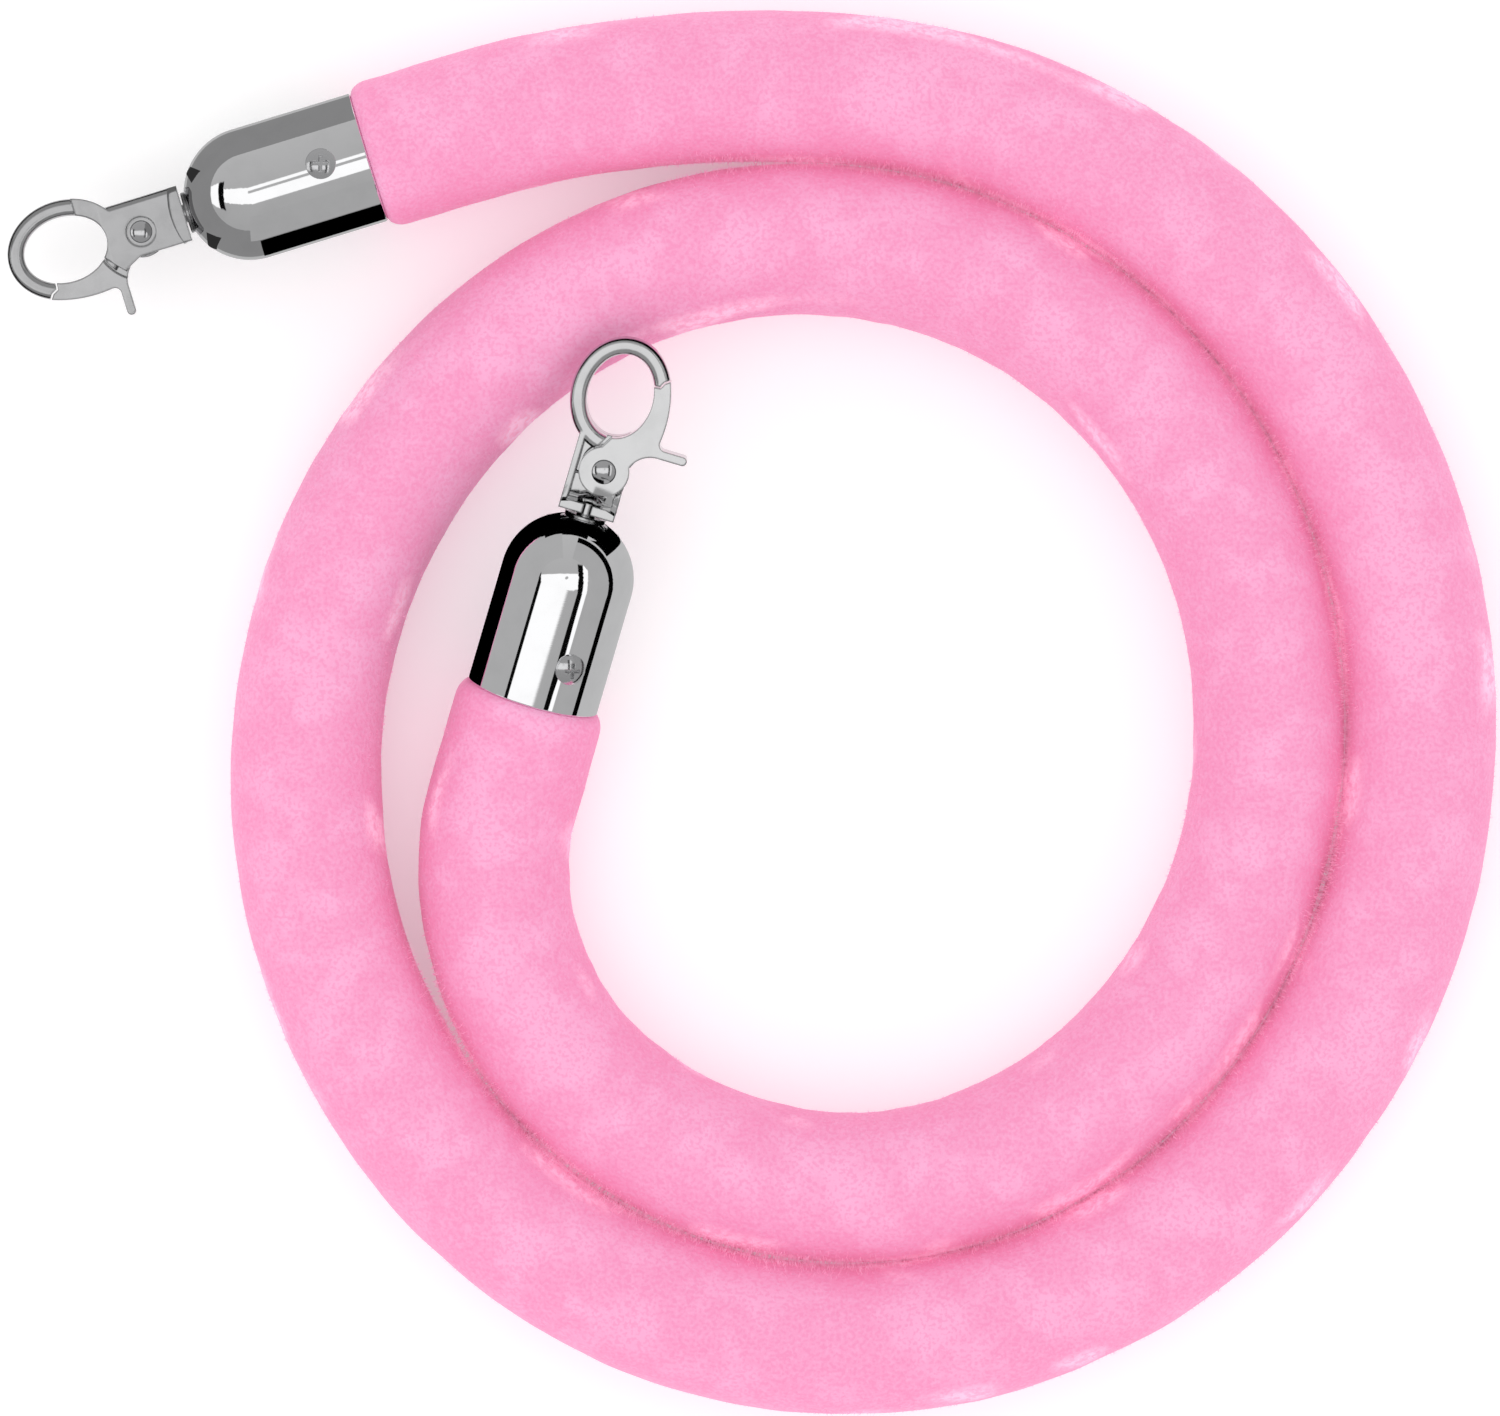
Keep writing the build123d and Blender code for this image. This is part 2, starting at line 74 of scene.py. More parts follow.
rope = {
    "diameter": 32 * mm,
    "coilCenter": (16.1 * mm, -9.2 * mm),
    "coilHalfWidth": 128.0 * mm,
    "coilOval": 6.6 * mm,
    "pitch": 32.7 * mm,
    "firstBearing": 97.5,
    "lastBearing": -487.5,
    "pointsPerTurn": 24,
    "routeA": [(-44.0, 128.4, 0.0), (-22.0, 131.6, 0.0)],
    "routeB": [
        (-45.2, -68.4, 0.0), (-51.6, -54.6, 0.0), (-54.9, -40.5, 0.0), (-54.6, -26.5, 0.4),
    ],
    "shoulder": 3.5 * mm,
    "firstRun": 16 * mm,
    "length": 1.322,      # from cap to cap, with both shoulders
    "ringsPerMetre": 700,
    "ringPoints": 96,
    "capBore": 13.3 * mm,
    "headRings": [17.0, 12.0, 7.0, 3.0, 1.2, 0.6, 0.1, -0.5, -1.1, -1.8, -2.6],   # mm into the cap
}

fittings = {
    "a": {"mouth": (-81.3, 117.5, 0.0), "heading": 197.0, "pitchUp": 0.0},
    "b": {"mouth": (-46.3, 2.6, 3.8), "heading": 73.5, "pitchUp": 10.0},
}


def fittingFrame(fitting):
    # mouth centre, direction outwards
    heading, pitchUp = math.radians(fitting["heading"]), math.radians(fitting["pitchUp"])
    direction = Vector((
        math.cos(heading) * math.cos(pitchUp),
        math.sin(heading) * math.cos(pitchUp),
        math.sin(pitchUp),
    ))
    mouth = Vector(fitting["mouth"]) * mm + Vector((0, 0, rope["diameter"] / 2))
    return mouth, direction


def onCoil(bearing):
    halfWidth = rope["coilHalfWidth"] + rope["pitch"] * bearing / 360
    halfHeight = halfWidth + rope["coilOval"]
    angle = math.radians(bearing)
    x = rope["coilCenter"][0] + halfWidth * math.cos(angle)
    y = rope["coilCenter"][1] + halfHeight * math.sin(angle)
    return Vector((x, y, rope["diameter"] / 2))


def routePoints():
    lift = Vector((0, 0, rope["diameter"] / 2))
    mouthA, outA = fittingFrame(fittings["a"])
    mouthB, outB = fittingFrame(fittings["b"])
    points = [mouthA - outA * rope["shoulder"], mouthA - outA * rope["firstRun"]]
    points += [Vector(p) * mm + lift for p in rope["routeA"]]
    stepAngle = 360 / rope["pointsPerTurn"]
    steps = round((rope["firstBearing"] - rope["lastBearing"]) / stepAngle)
    points += [onCoil(rope["firstBearing"] - i * stepAngle) for i in range(steps + 1)]
    points += [Vector(p) * mm + lift for p in rope["routeB"]]
    points += [mouthB - outB * rope["firstRun"], mouthB - outB * rope["shoulder"]]
    return points


def smoothLine(points):
    # the route as a NURBS line, read back as points
    curve = bpy.data.curves.new("ropeLine", "CURVE")
    curve.dimensions = "3D"
    curve.resolution_u = 24
    spline = curve.splines.new("NURBS")
    spline.points.add(len(points) - 1)
    for point, place in zip(spline.points, points):
        point.co = (*place, 1)
    spline.order_u = 3
    spline.use_endpoint_u = True
    helper = bpy.data.objects.new("ropeLine", curve)
    mesh = bpy.data.meshes.new_from_object(helper)
    line = np.array([v.co for v in mesh.vertices], float)
    bpy.data.objects.remove(helper)
    bpy.data.meshes.remove(mesh)
    bpy.data.curves.remove(curve)
    return line


def evenLine(line, spacing):
    gaps = np.linalg.norm(np.diff(line, axis=0), axis=1)
    along = np.concatenate([[0], np.cumsum(gaps)])
    at = np.linspace(0, along[-1], int(round(along[-1] / spacing)) + 1)
    return np.stack([np.interp(at, along, line[:, k]) for k in range(3)], axis=1), at


def ringAxes(line):
    # along, sideways and up at each point of the line
    along = np.gradient(line, axis=0)
    along /= np.linalg.norm(along, axis=1)[:, None]
    side = np.cross([0.0, 0.0, 1.0], along)
    side /= np.linalg.norm(side, axis=1)[:, None]
    return along, side, np.cross(along, side)


makeCamera(cameraSetup, rope["diameter"] / 2)
print("camera placed")


# Velvet rope

velvet = {
    "lump": 0.32 * mm,         # slow unevenness of the padding
    "lumpSize": 26 * mm,
    "dimple": 0.16 * mm,       # finer unevenness of the crushed pile
    "dimpleSize": 7 * mm,
    "pucker": 0.22 * mm,       # folds across the inside of a tight bend
    "puckerSize": 5.2 * mm,
    "tightBend": 75 * mm,
    "shoulderRound": 4.2 * mm,
    "stillEnd": 8 * mm,        # the unevenness fades out this near a cap
    "flattenFrom": 0.93,       # the rope's weight flattens it on the floor below this share of its radius
    "flatten": 1.2 * mm,
    "bendSmoothing": 25,       # rings over which the bend is averaged
    "seamDepth": 0.5 * mm,
    "seamWidth": 1.5 * mm,
    "flankSheenSize": 19 * mm,       # size of the painted sheen patches along the flanks
    "flankSheen": 0.75,
    "strengthSize": 17 * mm,   # stretches where the painted sheen between touching turns shows more or less
    "seed": 7.0,
}


def noiseAt(place, size, offset=0.0):
    return noise.noise(Vector(place) / size + Vector((offset, offset * 0.7, -offset)))


def makeRopeMesh():
    spacing = 1 / rope["ringsPerMetre"]
    line, at = evenLine(smoothLine(routePoints()), spacing)
    mouthA, outA = fittingFrame(fittings["a"])
    mouthB, outB = fittingFrame(fittings["b"])
    # straight on into the caps, with closer rings over the shoulders
    steps = np.array(rope["headRings"]) * mm
    headA = np.array([mouthA + outA * s for s in steps])
    headB = np.array([mouthB + outB * s for s in steps[::-1]])
    rings = np.vstack([headA, line, headB])
    length = at[-1]
    place = np.concatenate([-rope["shoulder"] - steps, at, length + rope["shoulder"] + steps[::-1]])
    along, side, up = ringAxes(rings)
    turn = np.gradient(along, axis=0) / np.maximum(np.gradient(place), 1e-5)[:, None]
    bend = (turn * side).sum(1)   # 1 / radius, to the left of the line
    kernel = np.ones(velvet["bendSmoothing"]) / velvet["bendSmoothing"]
    bend = np.convolve(bend, kernel, mode="same")
    radius = rope["diameter"] / 2
    # radius along the rope: rounded down to the cap's bore at both ends
    fromEnd = np.minimum(place + rope["shoulder"], length + rope["shoulder"] - place)
    drop = np.clip(1 - fromEnd / velvet["shoulderRound"], 0, 1)
    ringRadius = radius - (radius - rope["capBore"]) * (1 - np.sqrt(np.clip(1 - drop**2, 0, 1)))
    ringRadius[fromEnd <= 0] = rope["capBore"]
    count = rope["ringPoints"]
    angles = np.arange(count) * 2 * math.pi / count
    verts = []
    for i in range(len(rings)):
        free = min(1.0, max(0.0, fromEnd[i] / velvet["stillEnd"]))
        for angle in angles:
            outward = math.cos(angle) * side[i] + math.sin(angle) * up[i]
            spot = rings[i] + outward * radius
            lump = noiseAt(spot, velvet["lumpSize"], velvet["seed"]) * velvet["lump"]
            dimple = noiseAt(spot, velvet["dimpleSize"], velvet["seed"] + 3) * velvet["dimple"]
            inside = max(0.0, math.cos(angle) * math.copysign(1.0, bend[i]))
            tight = min(1.0, abs(bend[i]) * velvet["tightBend"]) ** 2
            wave = noise.noise(Vector((place[i] / velvet["puckerSize"], angle * 0.9, 5.0)))
            pucker = wave * velvet["pucker"] * inside * tight
            under = min(0.0, math.sin(angle) + velvet["flattenFrom"])
            seamGap = (angle - 1.5 * math.pi) * radius / velvet["seamWidth"]
            seam = math.exp(-seamGap**2) * velvet["seamDepth"]
            out = ringRadius[i] + (lump + dimple + pucker - seam) * free + under * velvet["flatten"]
            verts.append(rings[i] + outward * out)
    faces = []
    for i in range(len(rings) - 1):
        for k in range(count):
            a, b = i * count + k, i * count + (k + 1) % count
            faces.append((a, b, b + count, a + count))
    faces.append(tuple(reversed(range(count))))
    last = (len(rings) - 1) * count
    faces.append(tuple(range(last, last + count)))
    return makePiece("velvet_rope", verts, faces, smooth=True), rings, side, up


velvetRope, ropeRings, ringSide, ringUp = makeRopeMesh()
print("velvet rope:", len(velvetRope.data.vertices), "points")
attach(velvetRope, "rope")
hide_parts("velvet_sleeve")


# Pile: short fibres that stand up along the sides, longest where two turns touch

pile = {
    "count": 16000,
    "contactCount": 16000,
    "shortest": 0.7 * mm,
    "longest": 1.7 * mm,
    "width": 0.13 * mm,
    "rootDepth": 0.35 * mm,
    "freeRings": 16,          # rings at both ends that carry none
    "seed": 11,
}

turnContact = {
    "ownReach": 1.5,          # rope diameters along the rope that count as the same stretch
    "closeGap": 1.2 * mm,     # turns nearer than this count as fully touching
    "fadeGap": 3 * mm,
    "stride": 6,              # rings between two measurements
    "widestFlank": 0.72,      # how far sideways the painted sheen starts, and how far down it goes
    "lowest": -0.3,
}


def turnContactSides():
    # how closely the rope's left and right sides touch another turn, 0 to 1 at each ring
    radius = rope["diameter"] / 2
    reach = turnContact["ownReach"] * rope["diameter"]
    touching = np.zeros((len(ropeRings), 2))
    coarse = np.arange(0, len(ropeRings), turnContact["stride"])
    for i in coarse:
        for column, sign in ((0, 1.0), (1, -1.0)):
            flank = ropeRings[i] + sign * ringSide[i] * radius
            away = np.linalg.norm(ropeRings - flank, axis=1)
            own = np.abs(np.arange(len(ropeRings)) - i) / rope["ringsPerMetre"] < reach
            away[own] = 1.0
            gap = away.min() - radius
            closeness = 1 - (gap - turnContact["closeGap"]) / turnContact["fadeGap"]
            touching[i, column] = min(1.0, max(0.0, closeness))
    rows = np.arange(len(ropeRings))
    for column in (0, 1):
        touching[:, column] = np.interp(rows, coarse, touching[coarse, column])
    return touching


def storePaintedLight(touching):
    # for the velvet's material: a painted sheen mask, 1 where painted sheen lightens the flanks, most
    # where a turn touches another and in patches along them, and a painted top light mask, 1 along the
    # top
    count = rope["ringPoints"]
    angles = np.arange(count) * 2 * math.pi / count
    paintedSheen = np.zeros((len(ropeRings), count))
    paintedTopLight = np.tile(np.maximum(0, np.sin(angles)) ** 2, (len(ropeRings), 1))
    radius = rope["diameter"] / 2
    for i, ring in enumerate(ropeRings):
        for k, angle in enumerate(angles):
            sideways = math.cos(angle)
            if abs(sideways) < turnContact["widestFlank"] or math.sin(angle) < turnContact["lowest"]:
                continue
            column = 0 if sideways > 0 else 1
            outward = sideways * ringSide[i] + math.sin(angle) * ringUp[i]
            spot = ring + outward * radius
            wide = noiseAt(spot, velvet["flankSheenSize"], 31.0 + 9 * column)
            narrow = min(1.0, max(0.0, (abs(sideways) - 0.93 + 0.05 * wide) / 0.06))
            strength = 0.65 + 0.6 * noiseAt(spot, velvet["strengthSize"], 44.0)
            flank = min(1.0, max(0.0, (abs(sideways) - 0.74) / 0.12))
            # painted sheen in patches along the flanks
            flankSheen = min(1.0, max(0.0, (wide - 0.22) / 0.2)) * flank * velvet["flankSheen"]
            paintedSheen[i, k] = min(1.0, max(touching[i, column] * narrow * max(0.0, strength), flankSheen))
    for name, values in (("paintedSheen", paintedSheen), ("paintedTopLight", paintedTopLight)):
        attribute = velvetRope.data.attributes.new(name, "FLOAT", "POINT")
        attribute.data.foreach_set("value", values.astype(np.float32).ravel())


def makePile(touching):
    rng = np.random.default_rng(pile["seed"])
    radius = rope["diameter"] / 2
    fromEnd = np.minimum(np.arange(len(ropeRings)), np.arange(len(ropeRings))[::-1])
    free = np.flatnonzero(fromEnd > pile["freeRings"])
    weight = touching.sum(1)[free] + 1e-6
    anywhere = rng.choice(free, pile["count"])
    betweenTurns = rng.choice(free, pile["contactCount"], p=weight / weight.sum())
    verts, faces = [], []

    def addFibre(i, angle, length, lean):
        outward = math.cos(angle) * ringSide[i] + math.sin(angle) * ringUp[i]
        along = np.cross(ringSide[i], ringUp[i])
        root = ropeRings[i] + outward * (radius - pile["rootDepth"])
        root = root + along * rng.uniform(-0.7, 0.7) * mm
        tip = root + (outward + lean * along + rng.normal(0, 0.25) * ringUp[i]) * length
        across = along * pile["width"] / 2
        start = len(verts)
        verts.extend([root - across, root + across, tip])
        faces.append((start, start + 1, start + 2))

    for i in anywhere:
        side = rng.choice([0.0, math.pi])
        angle = side + rng.normal(0, 0.55)
        addFibre(i, angle, rng.uniform(pile["shortest"], 1.1 * mm), rng.normal(0.2, 0.5))
    for i in betweenTurns:
        left = rng.random() * touching[i].sum() < touching[i, 0]
        angle = abs(rng.normal(0, 0.22))
        if not left:
            angle = math.pi - angle
        addFibre(i, angle, rng.uniform(0.9 * mm, pile["longest"]), rng.normal(0.0, 0.4))
    return makePiece("velvet_pile", verts, faces)


touching = turnContactSides()
storePaintedLight(touching)
velvetPile = makePile(touching)
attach(velvetPile, "rope")
print("pile:", len(velvetPile.data.polygons), "fibres")

mouthA, outA = fittingFrame(fittings["a"])


# Materials

class Wire:
    # a node's output, with sums on it written as sums
    def __init__(self, nodes, socket):
        self.nodes = nodes
        self.socket = socket

    def math(self, operation, *values):
        sockets = {i: v for i, v in enumerate(values)}
        return self.nodes.add("ShaderNodeMath", {"operation": operation}, sockets)

    def __add__(self, other):
        return self.math("ADD", self, other)

    __radd__ = __add__

    def __sub__(self, other):
        return self.math("SUBTRACT", self, other)

    def __rsub__(self, other):
        return self.math("SUBTRACT", other, self)

    def __mul__(self, other):
        return self.math("MULTIPLY", self, other)

    __rmul__ = __mul__

    def __pow__(self, power):
        return self.math("POWER", self, power)

    def above(self, low, high):
        # 0 below low, 1 above high
        settings = {"interpolation_type": "SMOOTHSTEP"}
        return self.nodes.add("ShaderNodeMapRange", settings, {0: self, 1: low, 2: high})

    def between(self, low, high, soft):
        return self.above(low - soft, low + soft) * (1 - self.above(high - soft, high + soft))


class Nodes:
    def __init__(self, owner):
        owner.use_nodes = True
        self.tree = owner.node_tree
        self.tree.nodes.clear()

    def add(self, kind, settings=None, sockets=None, output=0):
        node = self.tree.nodes.new(kind)
        for name, value in (settings or {}).items():
            setattr(node, name, value)
        for name, value in (sockets or {}).items():
            if isinstance(value, Wire):
                self.tree.links.new(value.socket, node.inputs[name])
            else:
                node.inputs[name].default_value = value
        if len(node.outputs):
            return Wire(self, node.outputs[output])

    def place(self, stretch=(1, 1, 1), turn=0.0):
        # the piece's own coordinates in metres, stretched and turned about Z
        own = self.add("ShaderNodeTexCoord", output=3)
        return self.add("ShaderNodeMapping", sockets={
            "Vector": own, "Rotation": (0, 0, math.radians(turn)), "Scale": stretch,
        })

    def noise(self, size, detail=2.0, roughness=0.5, where=None):
        where = where or self.place()
        return self.add("ShaderNodeTexNoise", sockets={
            "Vector": where, "Scale": 1 / size, "Detail": detail, "Roughness": roughness,
        })

    def mix(self, share, a, b):
        a = a if isinstance(a, Wire) else (*a, 1)
        b = b if isinstance(b, Wire) else (*b, 1)
        return self.add("ShaderNodeMix", {"data_type": "RGBA"}, {0: share, 6: a, 7: b}, output=2)

    def bump(self, height, strength, distance):
        return self.add("ShaderNodeBump", sockets={
            "Height": height, "Strength": strength, "Distance": distance,
        })

    def finish(self, sockets):
        surface = self.add("ShaderNodeBsdfPrincipled", sockets=sockets)
        self.add("ShaderNodeOutputMaterial", sockets={"Surface": surface})


velvetLook = {
    "mid": (0.925, 0.322, 0.55),
    "light": (0.955, 0.44, 0.675),
    "deep": (0.90, 0.255, 0.485),
    # colour of the painted sheen: a painted highlight on the flanks and between touching turns
    "paintedSheen": (1.0, 0.58, 0.76),
    "patch": 13 * mm,
    "speckle": 0.8 * mm,
}

metals = {
    "cap": {"color": (0.86, 0.86, 0.87), "rough": 0.035, "scratch": 0.02},
    # hook_a and gate_a are painted darker than hook_b and gate_b, though both carry the same plating:
    # painted shade on end a
    "hook_a": {"color": (0.43, 0.43, 0.435), "rough": 0.075, "scratch": 0.015, "round": 0.5 * mm},
    "gate_a": {"color": (0.47, 0.47, 0.475), "rough": 0.08, "scratch": 0.015, "round": 0.5 * mm},
    "hook_b": {"color": (0.56, 0.56, 0.565), "rough": 0.075, "scratch": 0.015, "round": 0.5 * mm},
    "gate_b": {"color": (0.60, 0.60, 0.605), "rough": 0.08, "scratch": 0.015, "round": 0.5 * mm},
    "screw": {"color": (0.60, 0.60, 0.61), "rough": 0.14, "scratch": 0.05, "round": 0.25 * mm},
    "zinc": {"color": (0.62, 0.64, 0.66), "rough": 0.32, "scratch": 0.15},
    "spring": {"color": (0.35, 0.35, 0.36), "rough": 0.28, "scratch": 0.1},
}


def velvetMaterial(name, fibres=False):
    material = bpy.data.materials.new(name)
    n = Nodes(material)
    patches = n.noise(velvetLook["patch"], 3.0, 0.55).above(0.42, 0.62)
    strokes = n.noise(3.2 * mm, 3.0, 0.6).above(0.5, 0.75)
    speckle = n.noise(velvetLook["speckle"], 1.0, 0.5)
    paintedTopLight = n.add("ShaderNodeAttribute", {"attribute_name": "paintedTopLight"}, output=2)
    # painted top light: the colour is paler along the top of the rope, on top of random pale patches and
    # strokes
    pale = paintedTopLight * 0.3 + patches * (0.25 + paintedTopLight * 0.35) + strokes * 0.25
    color = n.mix(pale, velvetLook["mid"], velvetLook["light"])
    color = n.mix((1 - speckle.above(0.38, 0.5)) * 0.4, color, velvetLook["deep"])
    color = n.mix(speckle.above(0.56, 0.68) * 0.35, color, velvetLook["light"])
    if fibres:
        # painted sheen on the fibres: colour half-way to the sheen colour, and a faint painted glow of
        # their own colour
        color = n.mix(0.5, color, velvetLook["paintedSheen"])
        paintedGlow = n.mix(0.88, color, (0, 0, 0))
    else:
        # painted sheen: the flanks lighter in streaks where turns touch and in patches along them, with a
        # faint painted glow
        paintedSheen = n.add("ShaderNodeAttribute", {"attribute_name": "paintedSheen"}, output=2)
        streaks = n.noise(1.7 * mm, 3.0, 0.65).above(0.38, 0.58)
        paintedSheenStreaks = paintedSheen * (0.35 + streaks * 0.65)
        color = n.mix(paintedSheenStreaks, color, velvetLook["paintedSheen"])
        paintedGlow = n.mix(paintedSheenStreaks * 0.2, (0, 0, 0), velvetLook["paintedSheen"])
    height = speckle * 0.5 + n.noise(1.6 * mm, 3.0, 0.6) * 0.5
    n.finish({
        "Base Color": color,
        "Roughness": 0.95,
        "Specular IOR Level": 0.1,
        "Sheen Weight": 0.35,
        "Sheen Roughness": 0.45,
        "Sheen Tint": (1.0, 0.72, 0.86, 1),
        "Emission Color": paintedGlow,
        "Emission Strength": 1.0,
        "Normal": n.bump(height, 0.55, 0.5 * mm),
    })
    return material


def metalMaterial(name, look, turn=0.0):
    # polished and plated: fine scratches along the polishing, and faint smudges
    material = bpy.data.materials.new(name)
    n = Nodes(material)
    along = n.place((1, 14, 14), turn)
    scratches = n.noise(2.5 * mm, 4.0, 0.6, along)
    smudges = n.noise(6 * mm, 3.0, 0.55).above(0.4, 0.75)
    color = tuple(c * 0.93 for c in look["color"])
    normal = {"Height": scratches, "Strength": look["scratch"], "Distance": 0.05 * mm}
    if "round" in look:   # softened edges on the cast and turned pieces
        normal["Normal"] = n.add("ShaderNodeBevel", {"samples": 6}, {"Radius": look["round"]})
    n.finish({
        "Base Color": n.mix(smudges * 0.6, look["color"], color),
        "Metallic": 1.0,
        "Roughness": smudges * look["rough"] * 0.6 + look["rough"] * 0.8,
        "Normal": n.add("ShaderNodeBump", sockets=normal),
    })
    return material


def woodMaterial():
    material = bpy.data.materials.new("turnedBeech")
    n = Nodes(material)
    grain = n.noise(1.4 * mm, 5.0, 0.65, n.place((1, 9, 9)))
    color = n.mix(grain.above(0.35, 0.65), (0.62, 0.40, 0.21), (0.78, 0.58, 0.36))
    n.finish({"Base Color": color, "Roughness": 0.6, "Normal": n.bump(grain, 0.3, 0.2 * mm)})
    return material


def foamMaterial():
    material = bpy.data.materials.new("closedCellFoam")
    n = Nodes(material)
    cells = n.add("ShaderNodeTexVoronoi", sockets={"Vector": n.place(), "Scale": 1 / (0.9 * mm)})
    color = n.mix(cells * 0.8, (0.92, 0.91, 0.87), (0.8, 0.79, 0.74))
    n.finish({"Base Color": color, "Roughness": 0.9, "Normal": n.bump(cells, 0.5, 0.3 * mm)})
    return material


def cordMaterial():
    material = bpy.data.materials.new("braidedCord")
    n = Nodes(material)
    braid = n.add("ShaderNodeTexWave", {"bands_direction": "DIAGONAL"}, {
        "Vector": n.place(), "Scale": 1 / (3 * mm), "Distortion": 2.0,
    }, output=1)
    color = n.mix(braid, (0.8, 0.78, 0.72), (0.93, 0.92, 0.88))
    n.finish({"Base Color": color, "Roughness": 0.8, "Normal": n.bump(braid, 0.6, 0.4 * mm)})
    return material


def paint(piece, material):
    piece.data.materials.clear()
    piece.data.materials.append(material)


paint(velvetRope, velvetMaterial("crushedVelvet"))
paint(velvetPile, velvetMaterial("velvetFibres", fibres=True))
paint(cadNodes["velvet_sleeve"], velvetRope.data.materials[0])
paint(cadNodes["foam_core"], foamMaterial())
paint(cadNodes["core_cord"], cordMaterial())
beech = woodMaterial()
for end, fitting in fittings.items():
    turn = -fitting["heading"]
    polished = metalMaterial("polishedCap_" + end, metals["cap"], turn)
    hookPlate = metalMaterial("platedHook_" + end, metals["hook_" + end], turn)
    gatePlate = metalMaterial("platedGate_" + end, metals["gate_" + end], turn)
    screwSteel = metalMaterial("screwSteel_" + end, metals["screw"], turn)
    zincSteel = metalMaterial("zincSteel_" + end, metals["zinc"], turn)
    springSteel = metalMaterial("springSteel_" + end, metals["spring"], turn)
    finishes = {
        "end_cap": polished, "end_plug": beech, "cap_screws": screwSteel,
        "swivel_stud": hookPlate, "swivel_washer": hookPlate, "stud_washer": zincSteel,
        "stud_nut": zincSteel, "hook_body": hookPlate, "gate_rivet": screwSteel,
        "gate_spring": springSteel, "trigger_gate": gatePlate,
    }
    for name, material in finishes.items():
        paint(cadNodes[name + "_" + end], material)
print("materials painted")


# Floor, reflecting cards and light

studio = {
    "floorSize": 6.0,
    "floorDrop": 0.2 * mm,
    "floorColor": (0.86, 0.86, 0.86),
    "floorGlow": 0.26,     # like a lit table, so that shadows stay faint
    "fill": 1.02,          # even light from all round
    "panelWhite": 1.15,
    "panelGrey": 0.46,
    "gapBlack": 0.002,
    "keyEnergy": 3.0,
    "keySize": 1.6,
    "keyPlace": (-0.6, -0.9, 1.9),
}

# Upright cards round the fittings, seen only in their reflections. Each bends round the cap's
# dome from one turn to another: -90 and 90 are the cap's straight right and left sides, 0 is
# beyond its nose. Heights are from the cap's axis, in mm, and bright is how light the card is.
cards = {
    "blackBesideA": {
        "cap": "a", "turns": (90, 86), "away": 17.0, "height": (-1.8, 8.9), "bright": 0.0,
    },
    "greyBesideA": {
        "cap": "a", "turns": (90, 75), "away": 17.2, "height": (9.2, 26), "bright": 0.42,
    },
    "greyRoundA": {
        "cap": "a", "turns": (90, -90), "away": 17.6, "height": (-1.5, 15), "bright": 0.26,
    },
    "rimRoundA": {
        "cap": "a", "turns": (90, -90), "away": 17.8, "height": (-17, -1.4), "bright": 0.5,
    },
    "blackRoundB": {
        "cap": "b", "turns": (90, -40), "away": 17.0, "height": (-19, 7.5), "bright": 0.0,
    },
    "greyBesideB": {
        "cap": "b", "turns": (90, 20), "away": 17.2, "height": (7.8, 24), "bright": 0.46,
    },
    "blackLineB": {
        "cap": "b", "turns": (0, -90), "away": 17.2, "height": (9.7, 12), "bright": 0.0,
    },
    "greyRoundB": {
        "cap": "b", "turns": (-10, -90), "away": 17.6, "height": (-19, 9.7), "bright": 0.55,
    },
    "greyPastB": {
        "cap": "b", "turns": (0, -90), "away": 17.4, "height": (12, 24), "bright": 0.44,
    },
}

hookCards = {   # black rings round the hooks, which draw their rounded edges
    "a": {"along": 64, "away": 27, "height": (-5, 7), "bright": 0.03},
    "b": {"along": 64, "away": 27, "height": (-7, 9), "bright": 0.0},
}


def makeFloor():
    half = studio["floorSize"] / 2
    corners = [(-half, -half, 0), (half, -half, 0), (half, half, 0), (-half, half, 0)]
    floor = makePiece("floor", corners, [(0, 1, 2, 3)])
    material = bpy.data.materials.new("paleFloor")
    n = Nodes(material)
    n.finish({
        "Base Color": (*studio["floorColor"], 1), "Roughness": 0.9, "Specular IOR Level": 0.1,
        "Emission Color": (1, 1, 1, 1), "Emission Strength": studio["floorGlow"],
    })
    paint(floor, material)
    floor.location.z = -studio["floorDrop"]


def makeWall(name, end, plan, height, bright):
    # an upright card over a line in plan, in a fitting's own frame
    mouth, direction = fittingFrame(fittings[end])
    left = Vector((0, 0, 1)).cross(direction).normalized()
    up = direction.cross(left)
    verts = []
    for along, across in plan:
        for rise in height:
            verts.append(mouth + (direction * along + left * across + up * rise) * mm)
    faces = [(2 * i, 2 * i + 2, 2 * i + 3, 2 * i + 1) for i in range(len(plan) - 1)]
    piece = makePiece(name, verts, faces)
    material = bpy.data.materials.new(name)
    n = Nodes(material)
    n.finish({
        "Base Color": (0, 0, 0, 1), "Roughness": 1.0, "Specular IOR Level": 0.0,
        "Emission Color": (1, 1, 1, 1), "Emission Strength": bright,
    })
    paint(piece, material)
    piece.visible_camera = False
    piece.visible_diffuse = False
    piece.visible_shadow = False


def arc(along, away, first, last, steps):
    angles = [math.radians(first + (last - first) * step / steps) for step in range(steps + 1)]
    return [(along + away * math.cos(a), away * math.sin(a)) for a in angles]


def makeCards():
    domeStart, cardEnd = 26.5, -3.0   # along from the mouth
    for name, card in cards.items():
        away = card["away"]
        first, last = card["turns"]
        plan = arc(domeStart, away, first, last, 24)
        if first == 90:
            plan.insert(0, (cardEnd, away))
        if last == -90:
            plan.append((cardEnd, -away))
        makeWall(name, card["cap"], plan, card["height"], card["bright"])
    for end, card in hookCards.items():
        plan = arc(card["along"], card["away"], 0, 360, 36)
        makeWall("roundHook_" + end, end, plan, card["height"], card["bright"])


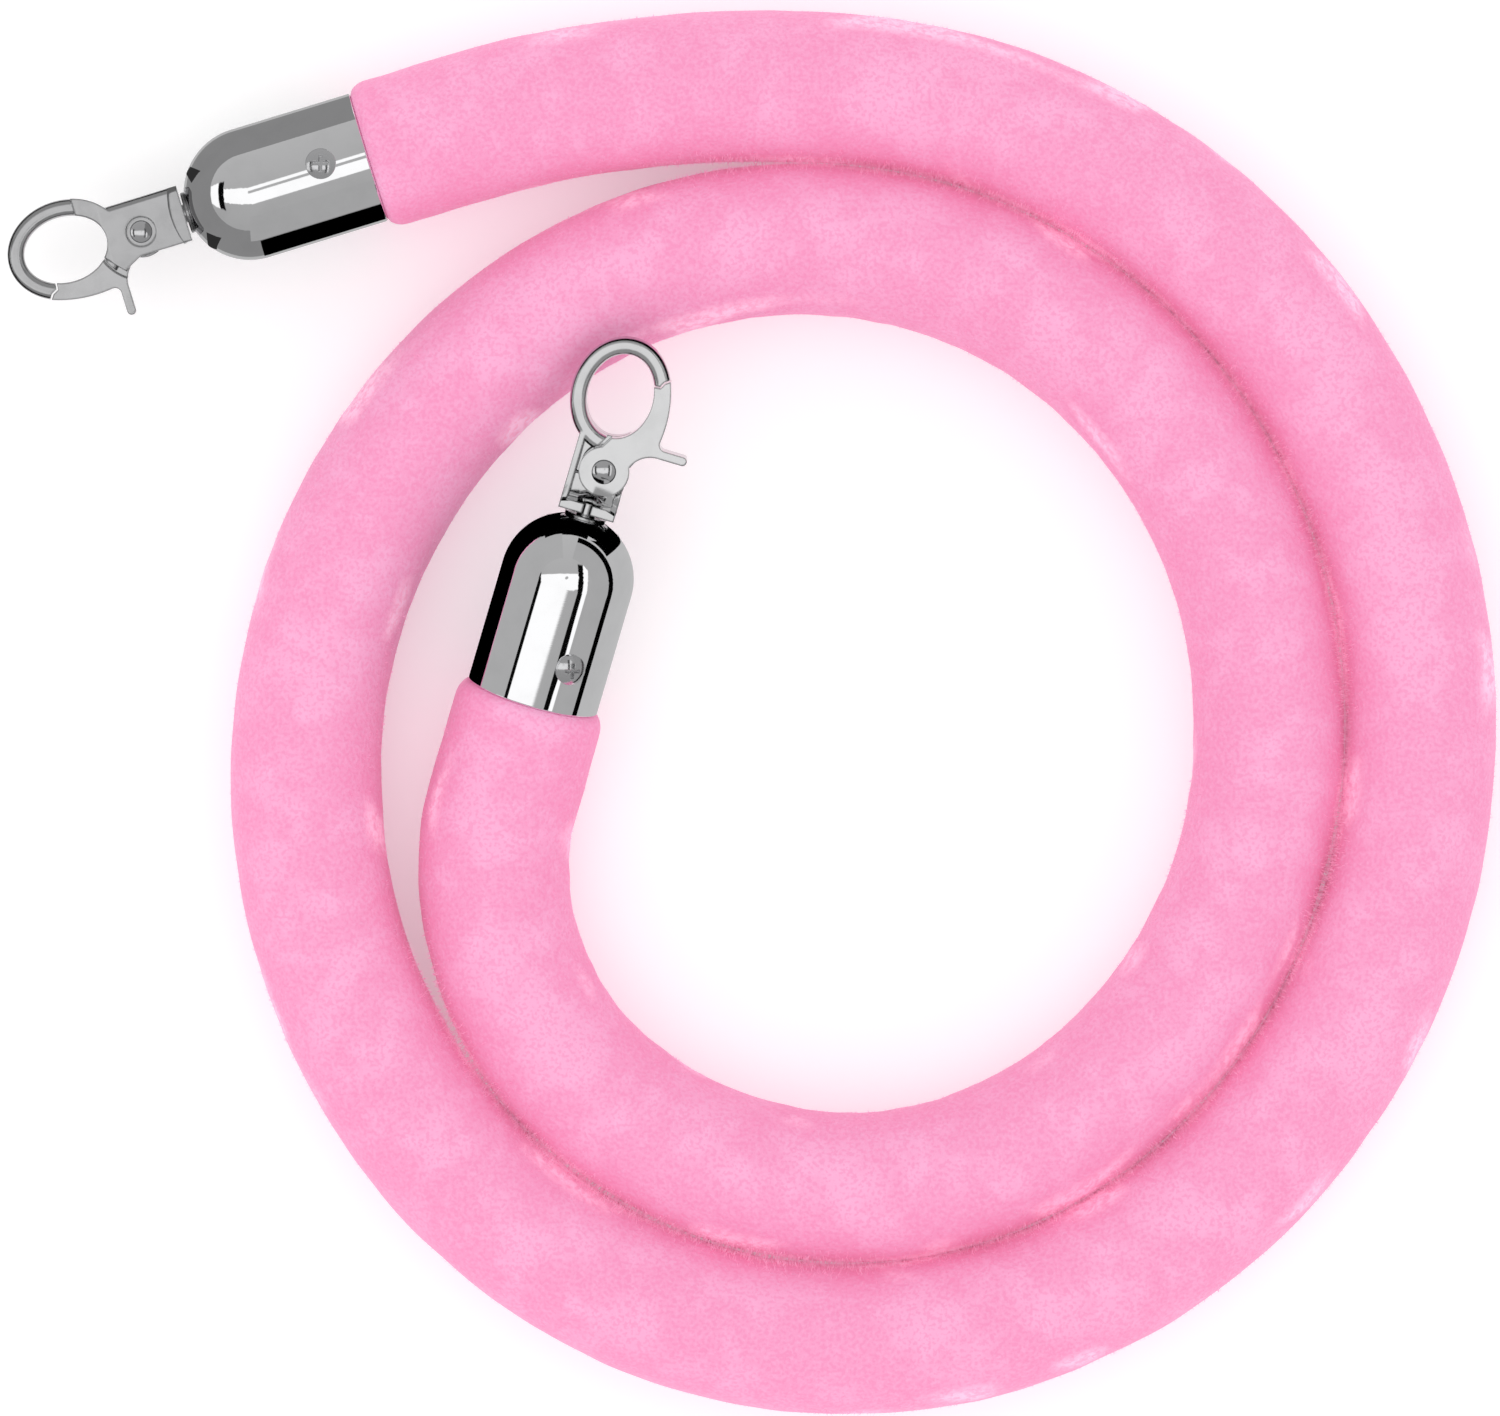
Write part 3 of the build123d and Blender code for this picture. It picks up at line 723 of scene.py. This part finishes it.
def makeWorld():
    # even white light on everything, and a studio of white and grey panels in the reflections
    world = bpy.data.worlds.new("studio")
    bpy.context.scene.world = world
    n = Nodes(world)
    direction = n.add("ShaderNodeTexCoord", output=0)
    x, y, z = [
        n.add("ShaderNodeSeparateXYZ", sockets={"Vector": direction}, output=i) for i in range(3)
    ]
    degree = 180 / math.pi
    east = x.math("ARCTAN2", x, z) * degree
    north = y.math("ARCTAN2", y, z) * degree
    fromTop = (east * east + north * north) ** 0.5
    top = east.between(-45, 20, 0.7) * north.between(-21, 7, 0.8)
    lens = 1 - fromTop.above(2.0, 3.2)
    nearAxis = north.between(-38, 24, 2.0)
    gaps = (east.between(-55, -45, 0.5) + east.between(20, 29, 0.5)) * nearAxis
    rims = (east.between(-70, -55, 0.8) + east.between(29, 37, 0.8)) * nearAxis
    grey = studio["panelGrey"] * (1 + north * 0.0016)
    greyPanel = n.add("ShaderNodeCombineXYZ", sockets={0: grey, 1: grey, 2: grey})
    level = n.mix(top, greyPanel, (studio["panelWhite"],) * 3)
    level = n.mix(rims, level, (studio["panelWhite"],) * 3)
    level = n.mix(lens, level, (studio["panelGrey"],) * 3)
    level = n.mix(gaps, level, (studio["gapBlack"],) * 3)
    glossy = n.add("ShaderNodeLightPath", output=3)
    light = n.mix(glossy, (studio["fill"],) * 3, level)
    surface = n.add("ShaderNodeBackground", sockets={"Color": light, "Strength": 1.0})
    n.add("ShaderNodeOutputWorld", sockets={"Surface": surface})


def makeKeyLight():
    data = bpy.data.lights.new("key", "AREA")
    data.shape = "DISK"
    data.size = studio["keySize"]
    data.energy = studio["keyEnergy"]
    light = bpy.data.objects.new("key", data)
    light.location = studio["keyPlace"]
    light.rotation_mode = "QUATERNION"
    light.rotation_quaternion = (-light.location).to_track_quat("-Z", "Y")
    light.visible_glossy = False
    bpy.context.scene.collection.objects.link(light)


makeFloor()
makeCards()
makeWorld()
makeKeyLight()
bpy.context.scene.view_settings.view_transform = "Standard"
bpy.context.scene.view_settings.look = "None"
print("studio lit")
